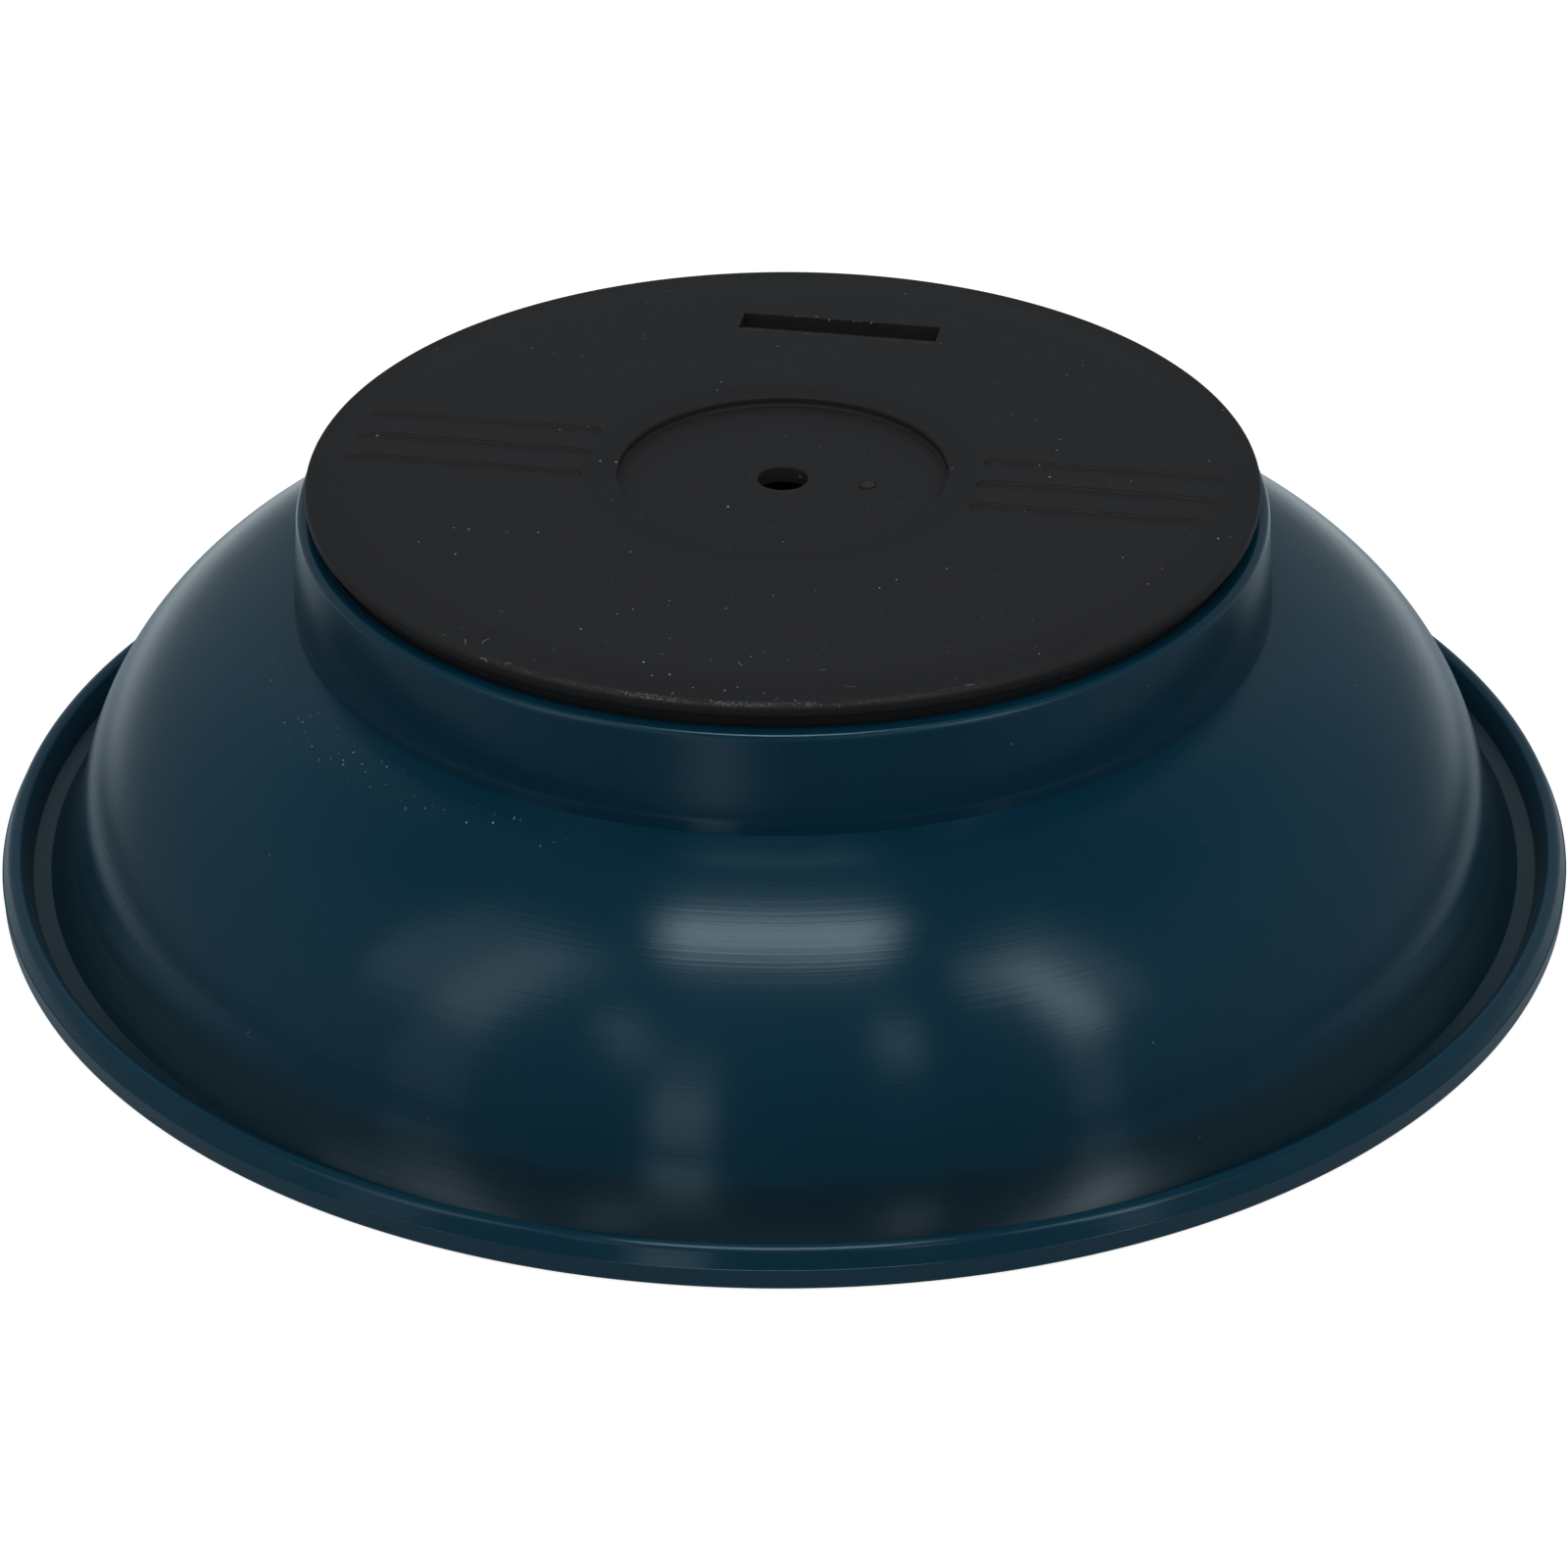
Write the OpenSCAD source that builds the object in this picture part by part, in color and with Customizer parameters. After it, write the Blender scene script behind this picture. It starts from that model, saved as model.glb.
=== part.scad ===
// Magnetic pin bowl, drawn upside down: it stands on its rim, with the base cover on top.
// The origin is the centre of the rim's face, and Z runs up through the middle of the bowl.
// The finger grooves of the base cover run along X, and its nail slot lies towards +Y.

/* [Bowl] */
// Diameter over the rolled rim
rim_d = 150; // [144:1:200]
// Outside diameter of the side wall where it meets the rim
wall_d = 135.2; // [126:0.2:137]
// Depth of the hollow, from the rim's face to the floor
bowl_depth = 26.3; // [25:0.1:40]
// Outside radius of the corner between the floor and the side wall
corner_r = 24.9; // [21:0.1:24.9]
// Thickness of the wall and the floor
wall_t = 1.6; // [1.2:0.1:2.4]
// Rounding of the mouth, where the wall turns into the rim
mouth_r = 2.8; // [0.4:0.1:3]

/* [Rim] */
// Thickness of the flat rim
rim_t = 1.5; // [1.2:0.1:2.2]
// Height of the lip, from the rim's face to the lip's edge
lip_h = 3.85; // [3.5:0.05:8]
// Distance from the rim's outside to the middle of the lip's edge
lip_in = 1.3; // [1:0.05:2.4]
// Angle that the lip's inner side leans out, from upright
lip_lean_a = 24; // [0:1:32]
// How far the flare at the foot of the side wall reaches out, on the radius
flare_w = 2.8; // [1:0.1:3.2]
// Angle between the flare's foot and the flat rim
flare_a = 48; // [40:1:54]
// Rounding of the lip's edge
lip_edge_r = 0.8; // [0.4:0.05:0.9]
// Rounding of the rim's outer corner
rim_edge_r = 0.5; // [0.2:0.1:1]
// Height of the mould's parting line, where the lip's outer side starts to slope in
parting_z = 2; // [1.6:0.1:2.6]
// Radius of the fine bead that the parting line leaves
parting_r = 0.12; // [0.08:0.01:0.3]

/* [Foot ring] */
// Outside diameter of the foot ring at its edge
foot_d = 90.8; // [86:0.2:96]
// Height of the foot ring over the floor
foot_h = 9.4; // [9.2:0.1:14]
// Thickness of the foot ring at its edge
foot_t = 1.8; // [1.4:0.1:2.6]
// How much the foot ring widens towards its root, on the radius
foot_draft = 0.6; // [0:0.1:1.2]
// Rounding of the foot ring's outer edge
foot_edge_r = 0.8; // [0.1:0.05:0.9]

/* [Magnet] */
// Outside diameter of the ring magnet
magnet_d = 72; // [60:1:76]
// Diameter of the hole in the ring magnet
magnet_bore_d = 32; // [29:1:34]
// Thickness of the ring magnet
magnet_t = 8; // [6:0.1:8]
// Width of the ring magnet's broken edges
magnet_edge = 0.6; // [0.2:0.1:1]
// Gap between the magnet and what locates it, on the radius
magnet_fit = 0.2; // [0.1:0.05:0.6]
// Thickness of the ribs that locate the magnet
rib_t = 1.4; // [1:0.1:2]
// Number of ribs inside the magnet, and of ribs round it
rib_n = 6; // [3:1:10]
// Height of the ribs over the floor
rib_h = 4.2; // [2:0.1:4.3]

/* [Back plate] */
// Diameter of the steel back plate
plate_d = 74; // [62:1:78]
// Thickness of the back plate
plate_t = 1; // [0.8:0.1:1.2]
// Diameter of the flat in the back plate's cup, seen from the cover
cup_d = 18; // [12:1:20]
// Depth of the back plate's cup
cup_depth = 3; // [2.8:0.1:3.4]
// How far the wall of the cup leans out, on the radius
cup_lean = 1.2; // [0.6:0.1:1.6]

/* [Screw] */
// Diameter of the screw
screw_d = 2.9; // [2.2:0.1:3.5]
// Length of the screw under its head
screw_l = 6.5; // [5:0.5:6.5]
// Diameter of the screw's head
head_d = 5.6; // [4.8:0.1:6.6]
// Height of the screw's head
head_h = 1.8; // [1.5:0.1:2.2]
// Width of the head's cross slots
cross_w = 0.8; // [0.5:0.1:1]
// Length of the head's cross slots
cross_l = 3; // [2:0.1:3.6]
// Depth of the head's cross slots
cross_depth = 1.1; // [0.6:0.1:1.2]
// Gap between the screw and its hole, on the radius
screw_fit = 0.04; // [0.02:0.01:0.1]
// Outside diameter of the screw's boss
boss_d = 8; // [6:0.2:10]

/* [Base cover] */
// Diameter of the base cover
cover_d = 88.9; // [87:0.1:90.4]
// Gap between the cover's edge and the foot ring
cover_gap = 1.35; // [0.8:0.05:3]
// Thickness of the cover's edge, measured to the top face
cover_edge_t = 1.35; // [1.2:0.05:2]
// Thickness of the cover inside its skirt
cover_t = 2; // [1.8:0.1:2.4]
// Width of the sloping band round the top face
band_w = 5; // [2:0.5:8]
// How far the band slopes down at the edge
band_drop = 0.3; // [0.1:0.05:0.5]
// Rounding of the cover's top edge
cover_edge_r = 0.4; // [0.1:0.05:0.8]
// Thickness of the skirt that stands in the foot ring
skirt_t = 1.6; // [1.2:0.1:2.2]
// Length of the skirt under the cover's edge
skirt_l = 5.5; // [5:0.1:6]
// Gap between the skirt and the foot ring, on the radius
skirt_fit = 0.15; // [0.1:0.05:0.4]

/* [Cover details] */
// Diameter of the round recess
recess_d = 30.8; // [24:0.2:34]
// Depth of the round recess
recess_depth = 0.95; // [0.3:0.05:1.1]
// Thickness of the cover under the round recess
recess_t = 1.5; // [1.2:0.1:1.6]
// Rounding of the recess's edge
recess_edge_r = 0.3; // [0.1:0.05:0.5]
// Diameter of the centre hole, for a thin screwdriver
hole_d = 4.7; // [3:0.1:5.4]
// Number of finger grooves on each side
groove_n = 3; // [1:1:5]
// Length of a finger groove
groove_l = 22.6; // [10:0.2:23]
// Width of a finger groove
groove_w = 2.2; // [1:0.1:3]
// Depth of a finger groove
groove_depth = 0.2; // [0.1:0.05:0.6]
// Distance between two finger grooves
groove_pitch = 4.5; // [4:0.1:8]
// Distance from the centre to the near end of the grooves
groove_start = 18.2; // [17.8:0.1:19]
// Length of the nail slot
slot_l = 19.5; // [10:0.5:26]
// Width of the nail slot
slot_w = 3.5; // [2:0.1:5]
// Depth of the nail slot at its steep side
slot_depth = 1.4; // [0.8:0.1:1.5]
// Distance from the centre to the middle of the nail slot
slot_y = 31; // [24:0.5:33]
// Diameter of the ring that the broken gate leaves
gate_d = 1.9; // [1:0.1:3]
// Height of the gate's ring
gate_h = 0.15; // [0.05:0.05:0.4]
// Distance from the centre to the gate
gate_x = 8; // [5:0.5:11]

/* [Twist lock] */
// Number of lugs in the foot ring
lug_n = 3; // [2:1:4]
// Angle that each lug covers
lug_a = 12; // [6:1:20]
// Thickness of a lug, along the bowl's axis
lug_t = 1.6; // [1:0.1:2]
// How far a lug stands in from the foot ring
lug_reach = 1.6; // [1:0.1:2.2]
// Gap between a lug and the slot that it runs in
lug_fit = 0.3; // [0.2:0.05:0.5]
// Thickness of the skirt's floor under the running slot
lug_floor = 1.1; // [0.8:0.1:1.4]
// Angle that the cover turns from locked to open
turn_a = 30; // [20:1:40]

/* [Pad] */
// Inside diameter of the foam pad
pad_in_d = 44; // [40:1:50]
// Outside diameter of the foam pad
pad_out_d = 68; // [54:1:72]
// Gap between the foam pad and the back plate
pad_fit = 0.06; // [0.02:0.01:0.2]

/* [Hidden] */
$fn = 96;
over = 1;
floor_z = bowl_depth + wall_t;
foot_z = floor_z + foot_h;
foot_in_r = foot_d / 2 - foot_t;
face_r = rim_d / 2 - parting_r / 2;
lip_r = face_r - lip_in;
magnet_z = floor_z + magnet_t;
plate_z = magnet_z + plate_t;
seat_z = plate_z - cup_depth;
boss_z = seat_z - plate_t;
cover_under_z = foot_z + cover_gap;
cover_z = cover_under_z + cover_edge_t;
skirt_r = foot_in_r - skirt_fit;
skirt_in_r = skirt_r - skirt_t;
skirt_z = cover_under_z - skirt_l;
recess_z = cover_z - recess_depth;
lug_z = skirt_z + lug_floor + lug_fit;
pad_z = plate_z + pad_fit;
hidden_boss_r = recess_d / 2 + recess_t;

// Cuts a rounding of radius r from an outside corner at the origin, whose body lies to -X and -Y
module round_off(r) {
    difference() {
        translate([-r, -r]) square(r + over);
        translate([-r, -r]) circle(r);
    }
}

// Half section of a round dish upside down, with its floor at height z and a corner of radius r
module dish_section(radius, z, r) {
    square([radius - r, z]);
    square([radius, z - r]);
    intersection() {
        translate([radius - r, z - r]) circle(r);
        translate([radius - r, 0]) square([r, z]);
    }
}

// Fills the corner between the side wall and the flat rim: tangent to the wall, steep at the rim
module flare_section() {
    wall_r = wall_d / 2;
    hub = [wall_r - corner_r, floor_z - corner_r];
    foot = [wall_r + flare_w, rim_t];
    arm = foot - hub;
    n = [sin(flare_a), cos(flare_a)];
    straight_r = flare_w / (1 - sin(flare_a));
    on_curve = rim_t + straight_r * cos(flare_a) > hub[1];
    r = on_curve ? (arm * arm - corner_r ^ 2) / (2 * (corner_r - arm * n)) : straight_r;
    centre = foot + r * n;
    touch = on_curve ? hub + (centre - hub) * corner_r / (corner_r + r) : [wall_r, centre[1]];
    difference() {
        polygon([
            [wall_r - wall_t / 2, rim_t / 2],
            [foot[0], rim_t / 2],
            foot,
            touch
        ]);
        translate(centre) circle(r);
    }
}

// Half section of the lip: a ridge with a round edge, which slopes in above the parting line
module lip_section() {
    e = lip_edge_r;
    centre = [lip_r, lip_h - e];
    drop = centre[1] - parting_z;
    a = acos(e / norm([lip_in, drop])) - atan2(drop, lip_in);
    outer = centre + e * [cos(a), sin(a)];
    inner = centre + e * [-cos(lip_lean_a), sin(lip_lean_a)];
    polygon([
        [inner[0] - (inner[1] - rim_t) * tan(lip_lean_a), rim_t],
        [lip_r - e, 0],
        [face_r, 0],
        [face_r, parting_z],
        outer,
        centre,
        inner
    ]);
    translate(centre) circle(e);
}

// Half section of the rim: its flat, the flare, the lip and the bead of the parting line
module rim_section() {
    wall_r = wall_d / 2;
    translate([wall_r - wall_t / 2, 0]) square([lip_r - wall_r + wall_t / 2, rim_t]);
    flare_section();
    lip_section();
    translate([face_r - parting_r / 2, parting_z]) circle(parting_r, $fn = 24);
}

// Half section of the foot ring, wider at its root, with its outer edge rounded
module foot_section() {
    edge_r = foot_d / 2;
    e = foot_edge_r;
    polygon([
        [foot_in_r, floor_z - wall_t / 2],
        [edge_r + foot_draft, floor_z - wall_t / 2],
        [edge_r, foot_z - e],
        [edge_r - e, foot_z - e],
        [edge_r - e, foot_z],
        [foot_in_r, foot_z]
    ]);
    translate([edge_r - e, foot_z - e]) circle(e);
}

// Half section of the whole bowl
module bowl_section() {
    in_r = wall_d / 2 - wall_t;
    difference() {
        union() {
            dish_section(wall_d / 2, floor_z, corner_r);
            rim_section();
            foot_section();
        }
        dish_section(in_r, bowl_depth, corner_r - wall_t);
        translate([0, -over]) square([in_r, 2 * over]);
        translate([face_r, 0]) mirror([0, 1]) round_off(rim_edge_r);
        translate([in_r, 0]) mirror([1, 0]) mirror([0, 1]) round_off(mouth_r);
    }
}

// One block swept round the axis, centred on the angle a
module sweep(a, sweep_a, r0, r1, z0, z1) {
    rotate(a - sweep_a / 2)
    rotate_extrude(angle = sweep_a)
    translate([r0, z0])
    square([r1 - r0, z1 - z0]);
}

// Ribs between two radii that locate the magnet
module ribs(r0, r1, turned) {
    for (i = [0 : rib_n - 1]) {
        rotate(turned + i * 360 / rib_n)
        translate([r0, -rib_t / 2, floor_z - wall_t / 2])
        cube([r1 - r0, rib_t, rib_h + wall_t / 2]);
    }
}

// The moulded bowl with its rim, foot ring, screw boss, ribs and lugs
module bowl() {
    bore_r = magnet_bore_d / 2 - magnet_fit;
    color([0.03, 0.2, 0.27])
    difference() {
        union() {
            rotate_extrude() bowl_section();
            translate([0, 0, floor_z - wall_t / 2]) cylinder(h = boss_z - floor_z + wall_t / 2, d = boss_d);
            ribs(boss_d / 2 - rib_t / 2, bore_r, 0);
            ribs(magnet_d / 2 + magnet_fit, foot_in_r + foot_t / 2, 180 / rib_n);
            for (i = [0 : lug_n - 1]) {
                sweep(i * 360 / lug_n, lug_a, foot_in_r - lug_reach, foot_in_r + foot_t / 2, lug_z, lug_z + lug_t);
            }
        }
        translate([0, 0, seat_z - screw_l - screw_fit]) cylinder(h = screw_l, r = screw_d / 2 + screw_fit);
    }
}

// The ring magnet, with its edges broken
module ring_magnet() {
    r0 = magnet_bore_d / 2;
    r1 = magnet_d / 2;
    e = magnet_edge;
    color([0.17, 0.17, 0.18])
    rotate_extrude()
    translate([0, floor_z])
    polygon([
        [r0 + e, 0],
        [r1 - e, 0],
        [r1, e],
        [r1, magnet_t - e],
        [r1 - e, magnet_t],
        [r0 + e, magnet_t],
        [r0, magnet_t - e],
        [r0, e]
    ]);
}

// The steel plate behind the magnet, pressed down to a cup for the screw
module back_plate() {
    r0 = screw_d / 2 + 2 * screw_fit;
    r1 = cup_d / 2;
    r2 = r1 + cup_lean;
    r3 = plate_d / 2;
    color([0.62, 0.63, 0.64])
    rotate_extrude()
    polygon([
        [r0, boss_z],
        [r1 + plate_t, boss_z],
        [r2 + plate_t, magnet_z],
        [r3, magnet_z],
        [r3, plate_z],
        [r2, plate_z],
        [r1, seat_z],
        [r0, seat_z]
    ]);
}

// The pan-head screw that holds the magnet
module magnet_screw() {
    r = screw_d / 2;
    dome_r = head_h / 2;
    color([0.7, 0.7, 0.68])
    translate([0, 0, seat_z])
    difference() {
        union() {
            rotate_extrude() {
                translate([0, -screw_l + r]) square([r, screw_l - r + head_h / 2]);
                polygon([[0, -screw_l], [r, -screw_l + r], [0, -screw_l + r]]);
                difference() {
                    square([head_d / 2, head_h]);
                    translate([head_d / 2, head_h]) round_off(dome_r);
                }
            }
        }
        for (a = [0, 90]) {
            rotate(a)
            translate([-cross_l / 2, -cross_w / 2, head_h - cross_depth])
            cube([cross_l, cross_w, cross_depth + over]);
        }
    }
}

// Half section of the base cover, before its slots and grooves
module cover_section() {
    r = cover_d / 2;
    difference() {
        union() {
            translate([0, cover_under_z]) square([r, cover_edge_t]);
            translate([0, cover_z - cover_t]) square([skirt_in_r + skirt_t / 2, cover_t]);
            translate([skirt_in_r, skirt_z]) square([skirt_t, cover_under_z - skirt_z + cover_edge_t / 2]);
            translate([0, recess_z - recess_t]) square([hidden_boss_r, recess_t + recess_depth]);
        }
        polygon([
            [r - band_w, cover_z],
            [r - cover_edge_r, cover_z - band_drop],
            [r + over, cover_z - band_drop],
            [r + over, cover_z + over],
            [r - band_w, cover_z + over]
        ]);
        translate([r, cover_z - band_drop]) round_off(cover_edge_r);
        translate([0, recess_z]) square([recess_d / 2, recess_depth + over]);
        translate([recess_d / 2, cover_z]) mirror([1, 0]) round_off(recess_edge_r);
        translate([0, recess_z - recess_t - over]) square([hole_d / 2, recess_t + 2 * over]);
    }
}

// One finger groove along X, cut down from the top face
module groove(y) {
    r = groove_w / 2;
    translate([groove_start + r, y, cover_z - groove_depth]) {
        cylinder(h = groove_depth + over, r = r);
        translate([0, -r, 0]) cube([groove_l - groove_w, groove_w, groove_depth + over]);
        translate([groove_l - groove_w, 0, 0]) cylinder(h = groove_depth + over, r = r);
    }
}

// The nail slot: a wedge whose floor rises towards the centre
module nail_slot() {
    translate([-slot_l / 2, slot_y, cover_z])
    rotate([90, 0, 90])
    linear_extrude(slot_l)
    polygon([
        [-slot_w / 2, over / 10],
        [-slot_w / 2, 0],
        [slot_w / 2, -slot_depth],
        [slot_w / 2, over / 10]
    ]);
}

// One slot in the skirt: the lug comes in at the open end and runs to the locked end
module lug_slot(a) {
    gap_a = lug_fit / skirt_r * 180 / PI;
    run_a = lug_a + turn_a + 2 * gap_a;
    r0 = skirt_in_r - over;
    r1 = skirt_r + over;
    sweep(a - turn_a / 2, run_a, r0, r1, lug_z - lug_fit, lug_z + lug_t + lug_fit);
    sweep(a - turn_a, lug_a + 2 * gap_a, r0, r1, skirt_z - over, lug_z + lug_t / 2);
}

// The base cover, which turns in the foot ring
module base_cover() {
    color([0.13, 0.13, 0.14]) {
        difference() {
            rotate_extrude() cover_section();
            for (side = [0, 180], i = [0 : groove_n - 1]) {
                rotate(side) groove((i - (groove_n - 1) / 2) * groove_pitch);
            }
            nail_slot();
            for (i = [0 : lug_n - 1]) {
                lug_slot(i * 360 / lug_n);
            }
        }
        translate([gate_x, 0, recess_z - recess_t / 2])
        difference() {
            cylinder(h = recess_t / 2 + gate_h, d = gate_d, $fn = 32);
            translate([0, 0, recess_t / 2]) cylinder(h = gate_h + over, d = gate_d * 0.6, $fn = 32);
        }
    }
}

// The foam pad stuck under the cover, which stops the cover rattling
module foam_pad() {
    color([0.25, 0.25, 0.26])
    rotate_extrude()
    translate([pad_in_d / 2, pad_z])
    square([(pad_out_d - pad_in_d) / 2, cover_z - cover_t - pad_z]);
}

bowl();
base_cover();
ring_magnet();
back_plate();
magnet_screw();
foam_pad();
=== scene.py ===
# %% [markdown]
# # A magnetic pin bowl, standing upside down
#
# The bowl is one deep teal moulding: a round dish with a flat rim, an upstanding lip and, on its
# floor, a foot ring. A ring magnet sits in the foot ring, and a black cover closes it with a twist.
# The imported CAD model is the frame that everything here sits in, so it is opened first.

# %% Open the imported model
import bpy
import numpy as np
from mathutils import Matrix, Vector


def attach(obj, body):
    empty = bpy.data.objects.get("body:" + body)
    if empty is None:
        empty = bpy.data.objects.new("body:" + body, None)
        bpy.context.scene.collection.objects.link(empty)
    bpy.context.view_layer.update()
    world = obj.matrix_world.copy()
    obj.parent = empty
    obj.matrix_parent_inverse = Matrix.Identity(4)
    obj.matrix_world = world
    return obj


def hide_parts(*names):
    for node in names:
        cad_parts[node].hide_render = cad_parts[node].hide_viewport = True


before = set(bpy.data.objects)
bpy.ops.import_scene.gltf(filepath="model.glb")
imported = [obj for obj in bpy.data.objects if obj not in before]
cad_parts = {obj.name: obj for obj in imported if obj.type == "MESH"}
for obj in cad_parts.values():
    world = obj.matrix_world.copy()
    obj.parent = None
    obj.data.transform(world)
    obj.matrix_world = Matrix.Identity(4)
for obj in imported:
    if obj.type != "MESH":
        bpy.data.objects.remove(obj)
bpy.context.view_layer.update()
MM = 0.001
print("nodes:", ", ".join(sorted(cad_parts)))

# %% [markdown]
# ## The camera
#
# The photograph was taken about half a metre away and 30 degrees above the table, with a long
# lens. A camera that looks along a direction has three axes: right, up and back. The up axis is
# the part of the vertical that is left after the looking direction is taken away, and a small
# roll turns right and up in their own plane. The optical axis passes below the cover's middle,
# so the camera is moved along its own up axis rather than tilted. The level direction away from
# the camera is kept, because the floor and the surroundings are laid out along it.

# %% Place the camera
AZIMUTH = np.radians(10.4)
ELEVATION = np.radians(30.281)
ROLL = np.radians(-0.223)
DISTANCE = 501.795
DROP = 29.317
COVER_Z = 40.0
FOCAL_PIXELS, PHOTO_PIXELS = 5500, 1600

side = np.array([np.cos(AZIMUTH), np.sin(AZIMUTH), 0.0])
level = np.array([-np.sin(AZIMUTH), np.cos(AZIMUTH), 0.0])
ahead = level * np.cos(ELEVATION) - np.array([0.0, 0.0, np.sin(ELEVATION)])
above = np.cross(side, ahead)
right = side * np.cos(ROLL) + above * np.sin(ROLL)
up = above * np.cos(ROLL) - side * np.sin(ROLL)
eye = (np.array([0.0, 0.0, COVER_Z]) - DISTANCE * ahead - DROP * above) * MM

camera = bpy.data.objects.new("camera", bpy.data.cameras.new("camera"))
bpy.context.scene.collection.objects.link(camera)
camera.data.sensor_width = 36.0
camera.data.lens = camera.data.sensor_width * FOCAL_PIXELS / PHOTO_PIXELS
camera.data.clip_start = 0.05
camera.data.clip_end = 20.0
turn = np.eye(4)
turn[:3, 0], turn[:3, 1], turn[:3, 2], turn[:3, 3] = right, up, -ahead, eye
camera.matrix_world = Matrix(turn.tolist())
bpy.context.scene.camera = camera
print("camera at", np.round(eye * 1000, 1), "mm, lens", round(camera.data.lens, 2), "mm")

# %% [markdown]
# ## A shorthand for nodes
#
# Everything below that has a look, from the floor to the foam, is made of shader nodes. One
# helper adds a node and fills its inputs, with a plain number, a colour or a link from another
# node, so that each finish reads as a short list of steps.

# %% The node helpers
def fill(tree, socket, value):
    """Puts a value into a socket: a link is linked, and a colour of three numbers gets its fourth."""
    if isinstance(value, bpy.types.NodeSocket):
        tree.links.new(value, socket)
    elif socket.type == "RGBA" and len(value) == 3:
        socket.default_value = (*value, 1)
    else:
        socket.default_value = value


def add(tree, kind, *given, named=None, **settings):
    """Adds a shader node: settings are its options, and given and named fill its inputs."""
    node = tree.nodes.new("ShaderNode" + kind)
    for key, value in settings.items():
        setattr(node, key, value)
    for socket, value in zip(node.inputs, given):
        fill(tree, socket, value)
    for key, value in (named or {}).items():
        fill(tree, node.inputs[key], value)
    return node


def maths(tree, operation, *given):
    """One step of arithmetic."""
    return add(tree, "Math", *given, operation=operation).outputs[0]


def step(tree, value, low, high, to_low=0.0, to_high=1.0):
    """A smooth step: to_low below low, to_high above high."""
    named = {"Value": value, "From Min": low, "From Max": high, "To Min": to_low, "To Max": to_high}
    return add(tree, "MapRange", named=named, interpolation_type="SMOOTHSTEP").outputs[0]


def mix(tree, share, a, b):
    """Colour a where share is 0 and colour b where it is 1."""
    node = tree.nodes.new("ShaderNodeMix")
    node.data_type = "RGBA"
    fill(tree, node.inputs[0], share)
    fill(tree, node.inputs[6], a)
    fill(tree, node.inputs[7], b)
    return node.outputs[2]


def dot(tree, vector, direction):
    """How far a vector goes along a direction."""
    return add(tree, "VectorMath", vector, direction, operation="DOT_PRODUCT").outputs["Value"]


def norm(tree, vector):
    """How long a vector is."""
    return add(tree, "VectorMath", vector, operation="LENGTH").outputs["Value"]


def unit(tree, vector):
    """The direction of a vector, as a vector of length 1."""
    return add(tree, "VectorMath", vector, operation="NORMALIZE").outputs[0]


def times(tree, *values):
    """The product of several shares."""
    product = values[0]
    for value in values[1:]:
        product = maths(tree, "MULTIPLY", product, value)
    return product


def plus(tree, *values):
    """The sum of several heights."""
    total = values[0]
    for value in values[1:]:
        total = maths(tree, "ADD", total, value)
    return total


print("helpers: add, maths, times, plus, step, mix, dot, norm, unit")

# %% [markdown]
# ## The floor, the surroundings and the lamps
#
# The product stands on white. The floor and the world are white to the camera, through Light
# Path's Is Camera Ray, so no extra light falls on the dark plastic, and a faint shadow is left
# on the floor. Dark glossy plastic shows what stands round it more than its own colour, so
# the surroundings are what this finish depends on: dim in front, paler at the sides, white low
# down behind, and darker high up. In reflections the floor is pale close round the bowl and dark
# in a band round its front and sides. Further out it lets them through to the world, which goes
# on below the horizon. The room's own light comes mostly from above.

# %% Lay the floor
FLOOR_SIZE, FLOOR_Z = 8.0, -0.0001
FLOOR_PAPER, FLOOR_NEAR, FLOOR_DARK = (0.34, 0.345, 0.35), (0.45, 0.54, 0.6), (0.05, 0.05, 0.05)
GLOW = 0.9
NEAR_END, DARK_END, FRONT_END = (0.09, 0.095), (0.115, 0.122), (0.02, 0.05)  # metres


def plane(name, size, z):
    """Four corners of a square of this size at height z: x and y run from -size / 2 to size / 2."""
    h = size / 2
    mesh = bpy.data.meshes.new(name)
    mesh.from_pydata([(-h, -h, z), (h, -h, z), (h, h, z), (-h, h, z)], [], [(0, 1, 2, 3)])
    obj = bpy.data.objects.new(name, mesh)
    bpy.context.scene.collection.objects.link(obj)
    return obj


floor = plane("floor", FLOOR_SIZE, FLOOR_Z)
paper = bpy.data.materials.new("paper_floor")
paper.use_nodes = True
tree = paper.node_tree
tree.nodes.clear()
ray = add(tree, "LightPath")
lit = add(tree, "BsdfDiffuse", FLOOR_PAPER).outputs[0]
glow = add(tree, "Emission", (1, 1, 1), GLOW).outputs[0]
pale = add(tree, "AddShader", lit, glow).outputs[0]
clear = add(tree, "BsdfTransparent", (1, 1, 1)).outputs[0]
position = add(tree, "NewGeometry").outputs["Position"]
away = norm(tree, position)
in_front = step(tree, dot(tree, position, tuple(level)), *FRONT_END, 1, 0)
near = add(tree, "BsdfDiffuse", FLOOR_NEAR).outputs[0]
dark = add(tree, "BsdfDiffuse", FLOOR_DARK).outputs[0]
darkened = times(tree, in_front, step(tree, away, *NEAR_END))
mirrored = add(tree, "MixShader", darkened, near, dark).outputs[0]
mirrored = add(tree, "MixShader", step(tree, away, *DARK_END), mirrored, clear).outputs[0]
shown = add(tree, "MixShader", ray.outputs["Is Camera Ray"], lit, pale).outputs[0]
shown = add(tree, "MixShader", ray.outputs["Is Glossy Ray"], shown, mirrored).outputs[0]
add(tree, "OutputMaterial", shown)
floor.data.materials.append(paper)
print("floor:", floor.dimensions.x, "m wide")

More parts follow.
